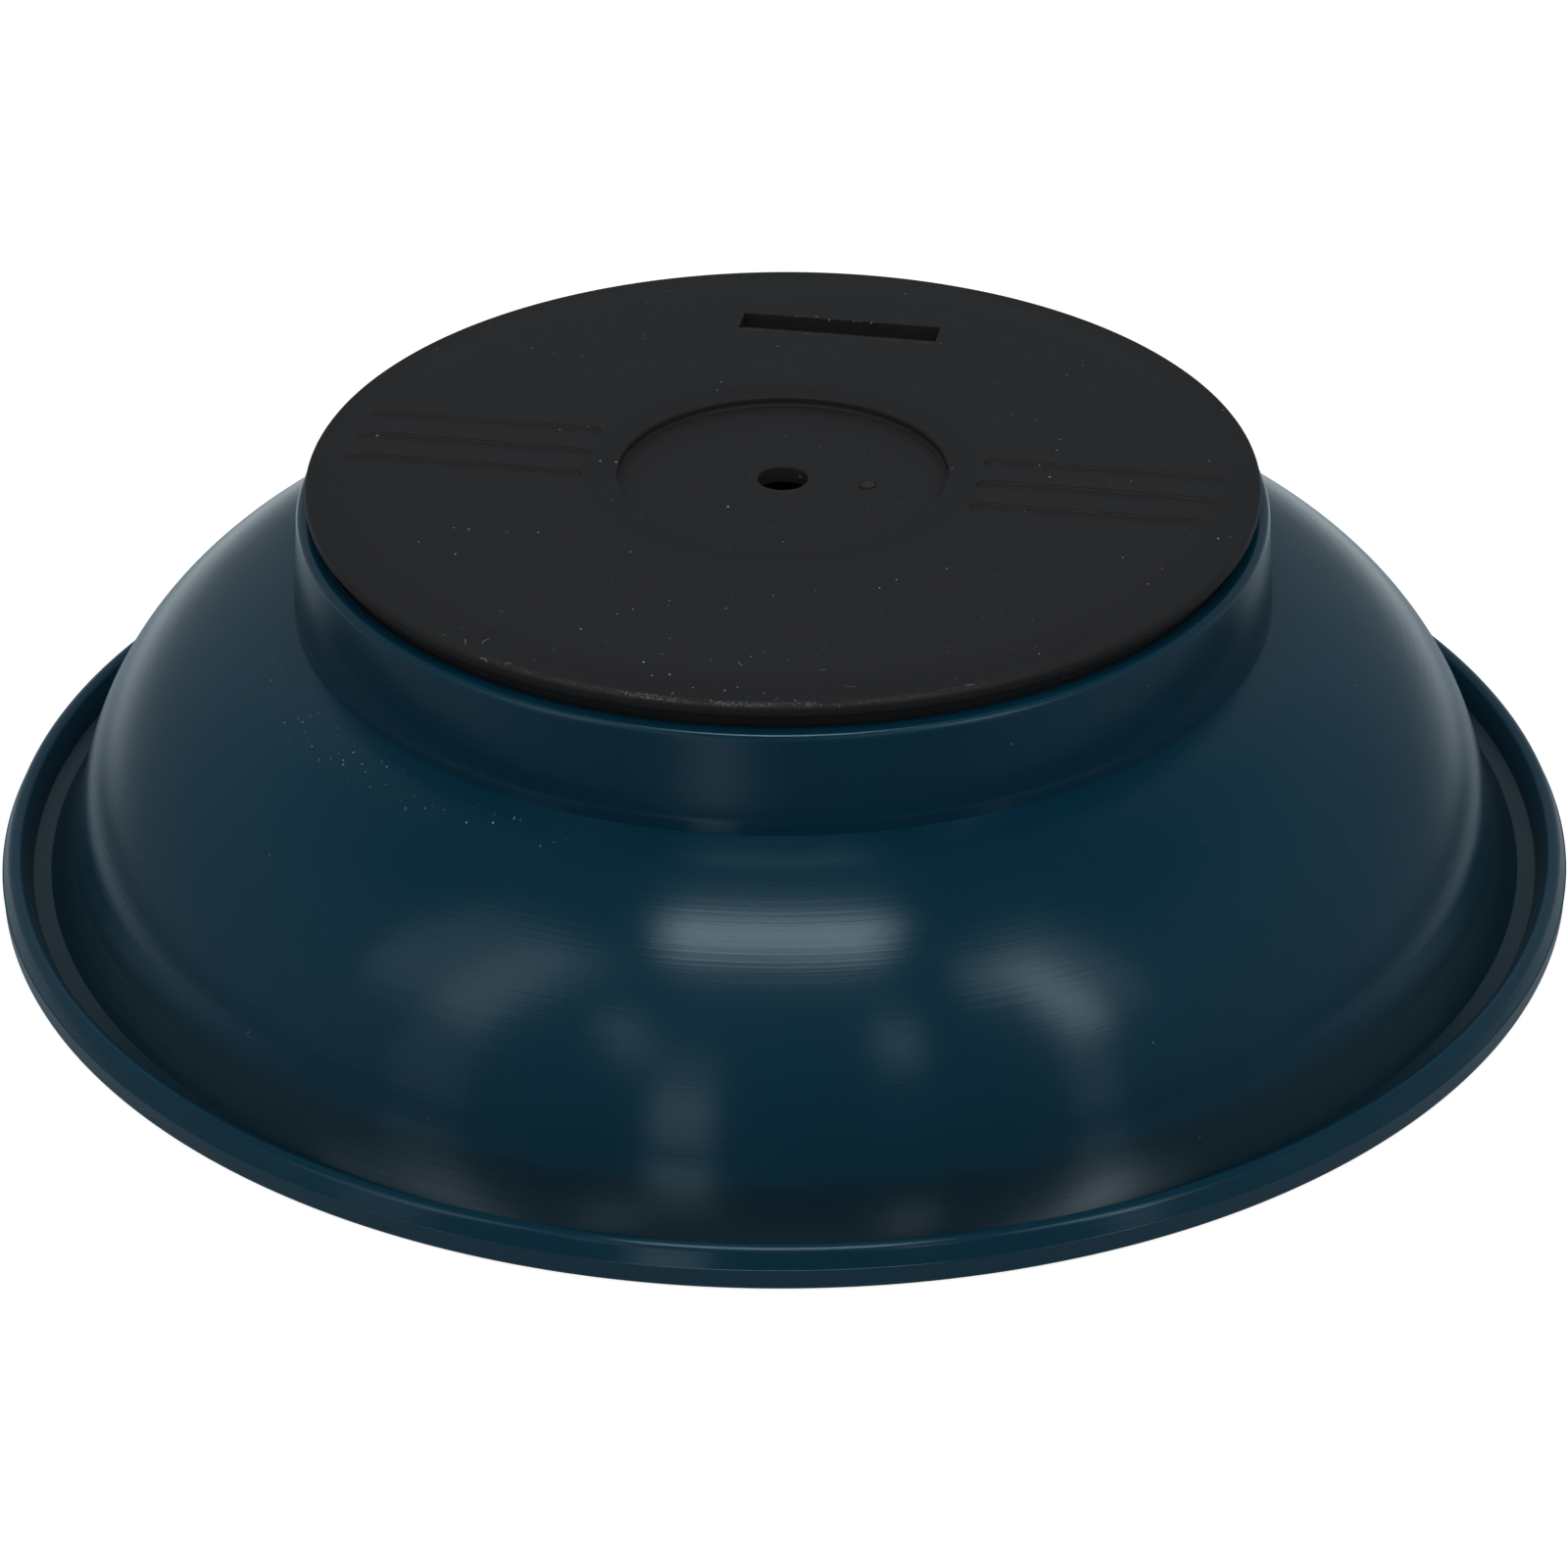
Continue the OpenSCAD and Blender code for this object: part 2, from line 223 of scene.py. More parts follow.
# %% Set the world
ROOM_LOW, ROOM_HIGH = 0.3, 0.45
FRONT, SIDES, BEHIND, HIGH = 0.1, 0.26, 1.1, 0.28
MIRRORED_TINT, ROOM_TINT = (0.85, 0.95, 1.0), (0.95, 0.98, 1.0)
SIDES_FROM, BEHIND_FROM = (-1.0, -0.2), (0.5, 0.95)
LOW_TO, HIGH_FROM, ROOM_RISE = (-0.3, 0.1), (0.5, 0.95), (-0.2, 0.9)

world = bpy.data.worlds.new("studio")
bpy.context.scene.world = world
world.use_nodes = True
tree = world.node_tree
tree.nodes.clear()
ray = add(tree, "LightPath")
direction = add(tree, "TexCoord").outputs["Generated"]
behind = dot(tree, direction, tuple(level))
height = dot(tree, direction, (0, 0, 1))
low = step(tree, height, *LOW_TO, BEHIND - SIDES, 0.04)
low = times(tree, step(tree, behind, *BEHIND_FROM), low)
shine = plus(tree, step(tree, behind, *SIDES_FROM, FRONT, SIDES), low)
shine = times(tree, shine, step(tree, height, *HIGH_FROM, 1, HIGH))
mirrored = add(tree, "Background", MIRRORED_TINT, shine).outputs[0]
room_light = step(tree, height, *ROOM_RISE, ROOM_LOW, ROOM_HIGH)
room = add(tree, "Background", ROOM_TINT, room_light).outputs[0]
white = add(tree, "Background", (1, 1, 1), 1.0).outputs[0]
shown = add(tree, "MixShader", ray.outputs["Is Glossy Ray"], room, mirrored).outputs[0]
shown = add(tree, "MixShader", ray.outputs["Is Camera Ray"], shown, white).outputs[0]
add(tree, "OutputWorld", shown)
bpy.context.scene.view_settings.view_transform = "Standard"
print("world: room light from", ROOM_LOW, "to", ROOM_HIGH)

# %% [markdown]
# The lamps are soft rectangles. Each stands in the direction in which its reflection shows in
# the bowl, which was worked out from the curve of the wall at that highlight. A lamp is given
# by its radiance, because that is what a reflection shows: a flat lamp of area A sends out
# pi times radiance times A.

# %% Hang the lamps
def lamp(name, azimuth, elevation, wide, tall, radiance, reach=3.0):
    """A rectangular lamp at reach metres from the bowl, wide and tall in degrees as seen from it.

    The azimuth a counts from the camera, to the right, and e is the elevation: the lamp's place is
    reach (sin a cos e, -cos a cos e, sin e)."""
    a, e = np.radians(azimuth) + AZIMUTH, np.radians(elevation)
    back = Vector((np.sin(a) * np.cos(e), -np.cos(a) * np.cos(e), np.sin(e)))
    across = Vector((np.cos(a), np.sin(a), 0))
    along = back.cross(across)
    data = bpy.data.lights.new(name, "AREA")
    data.shape = "RECTANGLE"
    data.size = 2 * reach * np.tan(np.radians(wide) / 2)
    data.size_y = 2 * reach * np.tan(np.radians(tall) / 2)
    data.energy = np.pi * radiance * data.size * data.size_y
    obj = bpy.data.objects.new(name, data)
    place = Vector((0, 0, COVER_Z / 2 * MM)) + back * reach
    axes = [(across[k], along[k], back[k], place[k]) for k in range(3)]
    obj.matrix_world = Matrix(axes + [(0, 0, 0, 1)])
    bpy.context.scene.collection.objects.link(obj)
    return obj


lamp("top", -4, 80, 22.5, 15, 5.6)
lamp("right_strip", 49.5, 38, 7, 32, 2.2)
lamp("right_glow", 53.5, 44, 16, 36, 0.6)
lamp("right_low", 46.5, 5, 7, 34, 0.3)
lamp("right_inner", 40.5, 50, 4, 9, 1.3)
lamp("left_strip", -54, 42, 9, 36, 0.6)
lamp("left_glow", -61, 44, 24, 38, 0.5)
lamp("left_low", -54, 8, 12, 32, 0.2)
lamp("left_spot", -29.5, 37, 6, 8, 1.0)
lamp("left_spot_low", -24.5, 31, 6, 8, 1.0)
lamp("right_spot", 19, 34, 5.5, 16, 1.1)
lamp("window", -15, -8, 9, 44, 0.7)
lamp("window_top", -15, 17, 9, 26, 0.4)

# %% [markdown]
# ## Turned shapes
#
# Every piece of this object is round, so one helper does most of the work. An outline in the
# half plane (radius, height) is carried round the Z axis. The outline is listed with the
# material on its left hand, and then the faces point outwards. Where it touches the axis, the
# ring of points there is one point, so the pole is closed. From here on lengths are in
# millimetres and angles in degrees, and in a name R stands for a radius and Z for a height.

# %% The turning helper
def arc(r, z, radius, start, stop, steps=8):
    """Points (r + radius cos t, z + radius sin t) on a circle, with t from start to stop in degrees."""
    t = np.radians(np.linspace(start, stop, steps + 1))
    return np.stack([r + radius * np.cos(t), z + radius * np.sin(t)], axis=1)


def outline(*parts):
    """Joins points and arcs into one outline, and drops a point that repeats the one before it."""
    path = np.concatenate([np.atleast_2d(np.asarray(p, float)) for p in parts])
    gaps = np.linalg.norm(np.diff(path, axis=0), axis=1)
    return path[np.concatenate([[True], gaps > 1e-6])]


def steps_between(a, b, count):
    """Points on the straight line from a to b, both ends included."""
    return np.linspace(a, b, count + 1)


def mesh_object(name, points, faces):
    """One object from points in millimetres and lists of corner numbers, its place in its mesh."""
    mesh = bpy.data.meshes.new(name)
    mesh.from_pydata((np.asarray(points) * MM).tolist(), [], faces)
    mesh.update()
    obj = bpy.data.objects.new(name, mesh)
    bpy.context.scene.collection.objects.link(obj)
    return obj


def ring_faces(rings, turns, closed=False, inward=False):
    """The four-cornered faces between rings of turns points each, numbered ring after ring.

    closed also joins the last ring to the first, and inward turns the faces over."""
    i = np.arange(rings if closed else rings - 1)[:, None]
    j = np.arange(turns)[None, :]
    here, there = i * turns, (i + 1) % rings * turns
    after = (j + 1) % turns
    corners = [here + j, here + after, there + after, there + j]
    if inward:
        corners = [corners[0], corners[3], corners[2], corners[1]]
    return np.stack(corners, axis=-1).reshape(-1, 4).tolist()


def revolve(name, path, turns=360, closed=False):
    """Carries an outline round Z: a point (r, z) goes to (r cos t, r sin t, z) for turns values of t.

    closed joins the outline's last point to its first, for a shape with a hole in its middle."""
    t = np.linspace(0, 2 * np.pi, turns, endpoint=False)
    on_axis = path[:, 0] < 1e-9
    ring = path[~on_axis]
    x = ring[:, :1] * np.cos(t)
    y = ring[:, :1] * np.sin(t)
    z = np.repeat(ring[:, 1:], turns, axis=1)
    points = np.stack([x, y, z], axis=-1).reshape(-1, 3)
    faces = ring_faces(len(ring), turns, closed)
    edge = np.arange(turns)
    after = (edge + 1) % turns
    if on_axis[0]:
        points = np.vstack([points, [0, 0, path[0, 1]]])
        faces += np.stack([np.full(turns, len(points) - 1), after, edge], axis=1).tolist()
    if on_axis[-1]:
        last = (len(ring) - 1) * turns
        points = np.vstack([points, [0, 0, path[-1, 1]]])
        faces += np.stack([np.full(turns, len(points) - 1), last + edge, last + after], axis=1).tolist()
    return mesh_object(name, points, faces)


print("helpers: arc, outline, steps_between, mesh_object, ring_faces, revolve")

# %% [markdown]
# ## Cutting and joining
#
# Ribs, lugs, grooves and slots break the round shape. Each is a small closed solid of its own,
# and a Boolean modifier joins it to the turned piece or cuts it away. The result is written
# back as a plain mesh, so nothing live is left on the piece. Afterwards each edge that turns
# by more than a set angle is marked sharp, and all else is shaded smooth.

# %% The carving helpers
def carve(piece, tool, operation):
    """Replaces piece's mesh by piece UNION tool or piece DIFFERENCE tool, and removes the tool."""
    modifier = piece.modifiers.new("carve", "BOOLEAN")
    modifier.operation = operation
    modifier.solver = "MANIFOLD"
    modifier.object = tool
    graph = bpy.context.evaluated_depsgraph_get()
    made = bpy.data.meshes.new_from_object(piece.evaluated_get(graph))
    piece.modifiers.clear()
    old = piece.data
    piece.data = made
    made.name = piece.name
    bpy.data.meshes.remove(old)
    bpy.data.objects.remove(tool)
    return piece


def shade(piece, angle=28):
    """Smooth shading, with edges sharp where two faces turn by more than the angle in degrees."""
    piece.data.shade_smooth()
    piece.data.set_sharp_from_angle(angle=np.radians(angle))
    return piece


def sector(name, centre, span, r0, r1, z0, z1, steps=16):
    """A block swept round Z: radius r0 to r1, height z0 to z1, span degrees wide about centre."""
    t = np.radians(np.linspace(centre - span / 2, centre + span / 2, steps + 1))
    corner = np.array([[r0, z0], [r1, z0], [r1, z1], [r0, z1]])
    x = corner[:, 0] * np.cos(t)[:, None]
    y = corner[:, 0] * np.sin(t)[:, None]
    z = np.broadcast_to(corner[:, 1], x.shape)
    points = np.stack([x, y, z], axis=-1).reshape(-1, 3)
    caps = [[0, 1, 2, 3], [4 * steps + 3, 4 * steps + 2, 4 * steps + 1, 4 * steps]]
    return mesh_object(name, points, ring_faces(steps + 1, 4, inward=True) + caps)


def block(name, x0, x1, y0, y1, z0, z1, turned=0.0):
    """A straight block between two corners, turned round Z by an angle in degrees."""
    x, y, z = np.meshgrid([x0, x1], [y0, y1], [z0, z1], indexing="ij")
    c, s = np.cos(np.radians(turned)), np.sin(np.radians(turned))
    points = np.stack([x * c - y * s, x * s + y * c, z], axis=-1).reshape(-1, 3)
    faces = [[0, 1, 3, 2], [4, 6, 7, 5], [0, 4, 5, 1], [2, 3, 7, 6], [0, 2, 6, 4], [1, 5, 7, 3]]
    return mesh_object(name, points, faces)


print("helpers: carve, shade, sector, block")

# %% [markdown]
# ## The bowl
#
# The outline runs from the middle of the floor's inside, down the inside of the wall, round the
# mouth, along the rim's face, up the outside of the lip, through the channel, up the outside of
# the wall, over the foot ring and down its inner side to the screw's boss. Straight runs get a
# few extra points, so that no face is very long. A hair-thin bead on the lip is the line where
# the two halves of the mould meet.
#
# Three joints are worked out. The flare at the foot of the wall is an arc of radius f, whose
# centre lies f beyond its lower end P along a unit vector n. It touches the wall's circle, with
# centre H and radius R, from outside, so |P + f n - H| = R + f, and with a = P - H this gives
# f = (a.a - R R) / (2 (R - a.n)). The lip's outer side is the line from the parting line that
# touches the lip's round edge. The foot ring's outer side leaves the wall where its sloping line
# meets the wall's circle.

# %% Draw the bowl's outline
HUB_R, HUB_Z = 42.7, 3.0
OUT_R, IN_R = 24.9, 23.3
FLOOR_IN, FLOOR_OUT = 26.3, 27.9
FACE_R, PARTING_Z, LIP_R, LIP_Z, LIP_EDGE, LIP_LEAN = 74.94, 2.0, 73.64, 3.85, 0.8, 24
FOOT_R, FOOT_IN, FOOT_Z, FOOT_EDGE, FOOT_CREST = 45.4, 43.6, 37.3, 0.8, 0.15
ROOT_R, ROOT_Z, DRAFT = 46.0, 27.1, (-0.6, 9.4)
RIM_Z, FLARE_R, FLARE_ANGLE = 1.5, 70.4, 48
MOUTH, FACE_EDGE, BEAD, FILLET = 2.8, 0.5, 0.12, 0.4
BOSS_R, BOSS_Z, BORE_R, BORE_Z, BROKEN = 4.0, 32.9, 1.49, 27.36, 0.2
RIB_HALF, RIB_Z, INNER_RIB, OUTER_RIB = 0.7, (27.1, 32.1), (3.3, 15.8), (36.2, 44.5)
LUG_SPAN, LUG_R, LUG_Z = 12, (42.0, 44.5), (34.55, 36.15)

facing = np.array([np.sin(np.radians(FLARE_ANGLE)), np.cos(np.radians(FLARE_ANGLE))])
arm = np.array([FLARE_R - HUB_R, RIM_Z - HUB_Z])
flare = (arm @ arm - OUT_R ** 2) / (2 * (OUT_R - arm @ facing))
flare_mid = np.array([FLARE_R, RIM_Z]) + flare * facing
touch = np.degrees(np.arctan2(flare_mid[1] - HUB_Z, flare_mid[0] - HUB_R))

drop, back_in = LIP_Z - LIP_EDGE - PARTING_Z, FACE_R - LIP_R
lip_slope = np.degrees(np.arccos(LIP_EDGE / np.hypot(back_in, drop)) - np.arctan2(drop, back_in))
leaning = np.radians(LIP_LEAN)
lip_foot = LIP_R - LIP_EDGE / np.cos(leaning) - (LIP_Z - LIP_EDGE - RIM_Z) * np.tan(leaning)

slope = np.array(DRAFT) / np.hypot(*DRAFT)
to_hub = np.array([ROOT_R, ROOT_Z]) - [HUB_R, HUB_Z]
reach = -to_hub @ slope + np.sqrt((to_hub @ slope) ** 2 - to_hub @ to_hub + OUT_R ** 2)
root = to_hub + reach * slope
root_angle = np.degrees(np.arctan2(root[1], root[0]))
lean = np.degrees(np.arctan2(-slope[0], slope[1]))

bowl_path = outline(
    steps_between([0, FLOOR_IN], [HUB_R, FLOOR_IN], 12),
    arc(HUB_R, HUB_Z, IN_R, 90, 0, 36),
    arc(HUB_R + IN_R + MOUTH, MOUTH, MOUTH, 180, 270, 12),
    steps_between([HUB_R + IN_R + MOUTH, 0], [FACE_R - FACE_EDGE, 0], 3),
    arc(FACE_R - FACE_EDGE, FACE_EDGE, FACE_EDGE, 270, 360, 6),
    arc(FACE_R - BEAD / 2, PARTING_Z, BEAD, -60, 60 + lip_slope, 7),
    arc(LIP_R, LIP_Z - LIP_EDGE, LIP_EDGE, lip_slope, 180 - LIP_LEAN, 12),
    [[lip_foot, RIM_Z]],
    arc(flare_mid[0], flare_mid[1], flare, 270 - FLARE_ANGLE, 180 + touch, 16),
    arc(HUB_R, HUB_Z, OUT_R, touch, root_angle, 48),
    arc(FOOT_R - FOOT_EDGE, FOOT_Z - FOOT_EDGE, FOOT_EDGE, lean, 90, 10),
    arc(FOOT_IN + FOOT_CREST, FOOT_Z - FOOT_CREST, FOOT_CREST, 90, 180, 3),
    arc(FOOT_IN - FILLET, FLOOR_OUT + FILLET, FILLET, 0, -90, 4),
    steps_between([FOOT_IN - FILLET, FLOOR_OUT], [BOSS_R + FILLET, FLOOR_OUT], 8),
    arc(BOSS_R + FILLET, FLOOR_OUT + FILLET, FILLET, 270, 180, 4),
    arc(BOSS_R - BROKEN, BOSS_Z - BROKEN, BROKEN, 0, 90, 3),
    arc(BORE_R + BROKEN, BOSS_Z - BROKEN, BROKEN, 90, 180, 3),
    [[BORE_R, BORE_Z], [0, BORE_Z]],
)
print("bowl outline:", len(bowl_path), "points, radius", round(bowl_path[:, 0].max(), 2), "mm")

# %% Turn the bowl and add its ribs and lugs
bowl = revolve("bowl_shell", bowl_path, 360)
for k in range(6):
    carve(bowl, block("rib", *INNER_RIB, -RIB_HALF, RIB_HALF, *RIB_Z, 60 * k), "UNION")
    carve(bowl, block("rib", *OUTER_RIB, -RIB_HALF, RIB_HALF, *RIB_Z, 60 * k + 30), "UNION")
for k in range(3):
    carve(bowl, sector("lug", 120 * k, LUG_SPAN, *LUG_R, *LUG_Z), "UNION")
shade(bowl)
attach(bowl, "bowl_body")
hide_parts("bowl")
print("bowl_shell:", len(bowl.data.polygons), "faces")

# %% [markdown]
# ## The base cover
#
# The cover is a disc with a skirt that stands in the foot ring. Its top carries a round recess
# with a soft dip round it, a band that slopes down to the edge, a nail slot and two groups of
# finger grooves. The dip and the band are part of the outline, as heights worked out from the
# radius with a smooth step. Grooves and slots are cut out afterwards. So are three L-shaped
# tracks in the skirt for the bowl's lugs: each is an entry from below and a run that the lug
# follows as the cover turns.

# %% Draw the cover's outline
COVER_R, UNDER_Z, CEILING_Z = 44.45, 38.65, 38.0
SKIRT_OUT, SKIRT_IN, SKIRT_Z = 43.45, 41.85, 33.15
RECESS_R, RECESS_Z, HOLE_R, DIP_R, BAND_R = 15.4, 39.05, 2.35, 17.7, 38.6
COLLAR_OUT, COLLAR_IN, COLLAR_Z = 16.9, 15.0, 37.55
HOLE_EDGE, RECESS_FILLET, RECESS_EDGE, TOP_EDGE, LOW_EDGE = 0.12, 0.25, 0.3, 0.4, 0.15
DIP_DEPTH, DIP_WIDTH, BAND_DROP, BAND_WIDTH = 0.07, 2.0, 0.3, 5.6


def ease(t):
    """A smooth step from 0 to 1: 3 t squared minus 2 t cubed, held outside."""
    t = np.clip(t, 0, 1)
    return t * t * (3 - 2 * t)


def top_height(r):
    """The cover's top: flat, dipping a little at the recess and sloping down at the edge."""
    dip = DIP_DEPTH * ease((DIP_R - r) / DIP_WIDTH)
    return COVER_Z - dip - BAND_DROP * ease((r - BAND_R) / BAND_WIDTH)


dip_r, flat_r = np.linspace(15.72, DIP_R, 9), np.linspace(18.5, BAND_R, 22)
top_r = np.concatenate([dip_r, flat_r, np.linspace(39.2, COVER_R - TOP_EDGE, 10)])
edge_r = RECESS_R + RECESS_EDGE
cover_path = outline(
    [[HOLE_R, COLLAR_Z]],
    arc(HOLE_R + HOLE_EDGE, RECESS_Z - HOLE_EDGE, HOLE_EDGE, 180, 90, 3),
    steps_between([3.2, RECESS_Z], [15.1, RECESS_Z], 8),
    arc(RECESS_R - RECESS_FILLET, RECESS_Z + RECESS_FILLET, RECESS_FILLET, 270, 360, 4),
    arc(edge_r, top_height(edge_r) - RECESS_EDGE, RECESS_EDGE, 180, 90, 5),
    np.stack([top_r, top_height(top_r)], axis=1),
    arc(COVER_R - TOP_EDGE, COVER_Z - BAND_DROP - TOP_EDGE, TOP_EDGE, 85, 0, 6),
    arc(COVER_R - LOW_EDGE, UNDER_Z + LOW_EDGE, LOW_EDGE, 0, -90, 3),
    [[SKIRT_OUT, UNDER_Z]],
    steps_between([SKIRT_OUT, CEILING_Z], [SKIRT_OUT, SKIRT_Z], 6),
    steps_between([SKIRT_IN, SKIRT_Z], [SKIRT_IN, CEILING_Z], 6),
    steps_between([40.0, CEILING_Z], [COLLAR_OUT, CEILING_Z], 10),
    [[COLLAR_OUT, COLLAR_Z]],
    steps_between([COLLAR_IN, COLLAR_Z], [4.0, COLLAR_Z], 4),
)
cover_path = cover_path[::-1]
print("cover outline:", len(cover_path), "points")

# %% Shape the groove and the slot
ROUNDING = 0.35
SLOT_HALF, SLOT_NEAR, SLOT_FAR, SLOT_DEPTH = 9.75, 29.25, 32.65, 1.4


def groove_tool(name, x0, y0, length, width, depth, turned):
    """A capsule-shaped cutter whose floor rises to its edge in a quarter circle.

    Ring by ring the capsule's outline moves in by s and down by d: s = ROUNDING (1 - cos a) and
    d = depth sin a, with a from 0 to 90 degrees. The top ring stands above the face."""
    radius = width / 2
    half = np.linspace(-90, 90, 13)
    whole = 2 * len(half)
    a = np.radians(np.linspace(0, 90, 7))
    inset = np.concatenate([[-0.02], ROUNDING * (1 - np.cos(a))])
    drop = np.concatenate([[-0.5], depth * np.sin(a)])
    t = np.radians(np.concatenate([half, half + 180]))
    shift = np.repeat([length - width, 0.0], len(half)) + radius
    r = radius - inset[:, None]
    x = x0 + shift + r * np.cos(t)
    y = y0 + r * np.sin(t)
    z = np.repeat((COVER_Z - drop)[:, None], whole, axis=1)
    c, s = np.cos(np.radians(turned)), np.sin(np.radians(turned))
    points = np.stack([x * c - y * s, x * s + y * c, z], axis=-1).reshape(-1, 3)
    sides = ring_faces(len(inset), whole, inward=True)
    last = (len(inset) - 1) * whole
    caps = [list(range(whole)), list(range(last + whole - 1, last - 1, -1))]
    return mesh_object(name, points, sides + caps)


def slot_tool(name):
    """The nail slot's wedge: a steep far wall, and a floor that rises towards the cover's middle."""
    near = [(SLOT_NEAR, COVER_Z + 0.5), (SLOT_NEAR, COVER_Z)]
    far = [(SLOT_FAR, COVER_Z - SLOT_DEPTH), (SLOT_FAR + 0.1, COVER_Z + 0.5)]
    points = [[x, y, z] for x in (-SLOT_HALF, SLOT_HALF) for y, z in near + far]
    sides = [[k, (k + 1) % 4, 4 + (k + 1) % 4, 4 + k] for k in range(4)]
    return mesh_object(name, points, sides + [[3, 2, 1, 0], [4, 5, 6, 7]])


print("helpers: groove_tool, slot_tool")

# %% Turn the cover and cut it
GROOVE_X, GROOVE_GAP, GROOVE_SIZE = 18.2, 4.5, (22.6, 2.2, 0.2)
TRACK_R, RUN_SPAN, RUN_Z, ENTRY_SPAN, ENTRY_Z = (41.0, 44.3), 42.8, (34.25, 36.45), 12.8, (32.5, 35.4)

cover = revolve("cover_disc", cover_path, 300, closed=True)
for turned in (0, 180):
    for k in (-1, 0, 1):
        groove = groove_tool("groove", GROOVE_X, GROOVE_GAP * k, *GROOVE_SIZE, turned)
        carve(cover, groove, "DIFFERENCE")
carve(cover, slot_tool("slot"), "DIFFERENCE")
for k in range(3):
    carve(cover, sector("run", 120 * k - 15, RUN_SPAN, *TRACK_R, *RUN_Z), "DIFFERENCE")
    carve(cover, sector("entry", 120 * k - 30, ENTRY_SPAN, *TRACK_R, *ENTRY_Z), "DIFFERENCE")
shade(cover)
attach(cover, "cover_body")
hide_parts("base_cover")
print("cover_disc:", len(cover.data.polygons), "faces")

# %% [markdown]
# ## Marks of the mould and of use
#
# Where the plastic was let into the mould, a small crater is left with a broken stub in it. The
# far edge of the nail slot keeps a few curled burrs. Both are real shapes, because a light from
# the side picks them out.

# %% Break the gate off and leave the burrs
GATE_X = 8.0
chance = np.random.default_rng(7)


def moved(piece, x, y, z=0.0):
    """Shifts a piece's points by millimetres, so that the object itself stays at the origin."""
    piece.data.transform(Matrix.Translation(Vector((x, y, z)) * MM))
    return piece


def points_of(piece):
    """A piece's points in metres, one in each row."""
    flat = np.empty(3 * len(piece.data.vertices))
    piece.data.vertices.foreach_get("co", flat)
    return flat.reshape(-1, 3)


def roughened(piece, amount, above=-1e9):
    """Moves each point higher than above by a random step of up to amount millimetres."""
    points = points_of(piece)
    shift = chance.uniform(-amount, amount, points.shape) * MM
    points += shift * (points[:, 2:] > above * MM)
    piece.data.vertices.foreach_set("co", points.ravel())
    return piece


crater = np.array([[0, -0.13], [0.72, -0.13], [0.93, -0.02], [0.96, 0.5], [0, 0.5]])
stub = np.array([[0, -0.4], [0.7, -0.4], [0.7, -0.05], [0.62, 0.08], [0.4, 0.03], [0, 0.05]])
crater[:, 1] += RECESS_Z
stub[:, 1] += RECESS_Z
carve(cover, moved(revolve("crater", crater, 32), GATE_X, 0), "DIFFERENCE")
carve(cover, roughened(moved(revolve("stub", stub, 24), GATE_X, 0), 0.05, RECESS_Z - 0.1), "UNION")


BURR_RINGS, BURR_SIDES = 7, 6


def burr(x, length, lift):
    """A curled sliver on the slot's far edge: a tube of six sides, thinning as it rises and bends."""
    t = np.linspace(0, 1, BURR_RINGS)
    a = np.linspace(0, 2 * np.pi, BURR_SIDES, endpoint=False)
    thin = 0.075 * (1 - 0.8 * t)[:, None]
    middle_y = SLOT_FAR + 0.13 - length * t ** 1.4
    middle_z = COVER_Z - 0.05 + lift * np.sin(np.pi * 0.8 * t)
    px = x + 0.12 * np.sin(3 * t)[:, None] + thin * np.cos(a) * 1.6
    py = middle_y[:, None] + thin * np.sin(a) * 0.4
    pz = middle_z[:, None] + thin * np.sin(a)
    points = np.stack([px, py, pz], axis=-1).reshape(-1, 3)
    low = list(range(BURR_SIDES - 1, -1, -1))
    high = list(range(len(points) - BURR_SIDES, len(points)))
    return mesh_object("burr", points, ring_faces(BURR_RINGS, BURR_SIDES) + [low, high])


for x, length, lift in ((-4.6, 0.3, 0.05), (1.1, 0.32, 0.08), (1.7, 0.2, 0.04), (2.85, 0.5, 0.1)):
    carve(cover, burr(x, length, lift), "UNION")
shade(cover)
print("cover_disc with its marks:", len(cover.data.polygons), "faces")

# %% [markdown]
# ## The magnet, its plate and its screw
#
# These are hidden in the foot ring, apart from the screw's head, which shows through the hole in
# the cover. The magnet has broken edges, the plate is pressed to a cup, and the screw has a cross
# recess and a thread that winds up its shank.

# %% Turn the magnet and press the plate
MAGNET_Z, PLATE_Z, SEAT_Z = 35.9, 36.9, 33.9
MAGNET_IN, MAGNET_OUT, CHAMFER = 16.0, 36.0, 0.6
PLATE_IN, PLATE_R, CUP_LOW, CUP_HIGH = 1.53, 37.0, 158, 338
magnet_path = outline(
    steps_between([MAGNET_IN + CHAMFER, FLOOR_OUT], [MAGNET_OUT - CHAMFER, FLOOR_OUT], 6),
    [[MAGNET_OUT, FLOOR_OUT + CHAMFER], [MAGNET_OUT, MAGNET_Z - CHAMFER]],
    steps_between([MAGNET_OUT - CHAMFER, MAGNET_Z], [MAGNET_IN + CHAMFER, MAGNET_Z], 6),
    [[MAGNET_IN, MAGNET_Z - CHAMFER], [MAGNET_IN, FLOOR_OUT + CHAMFER]],
)
magnet = shade(revolve("magnet_ring", magnet_path, 240, closed=True))
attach(magnet, "bowl_body")
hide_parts("ring_magnet")

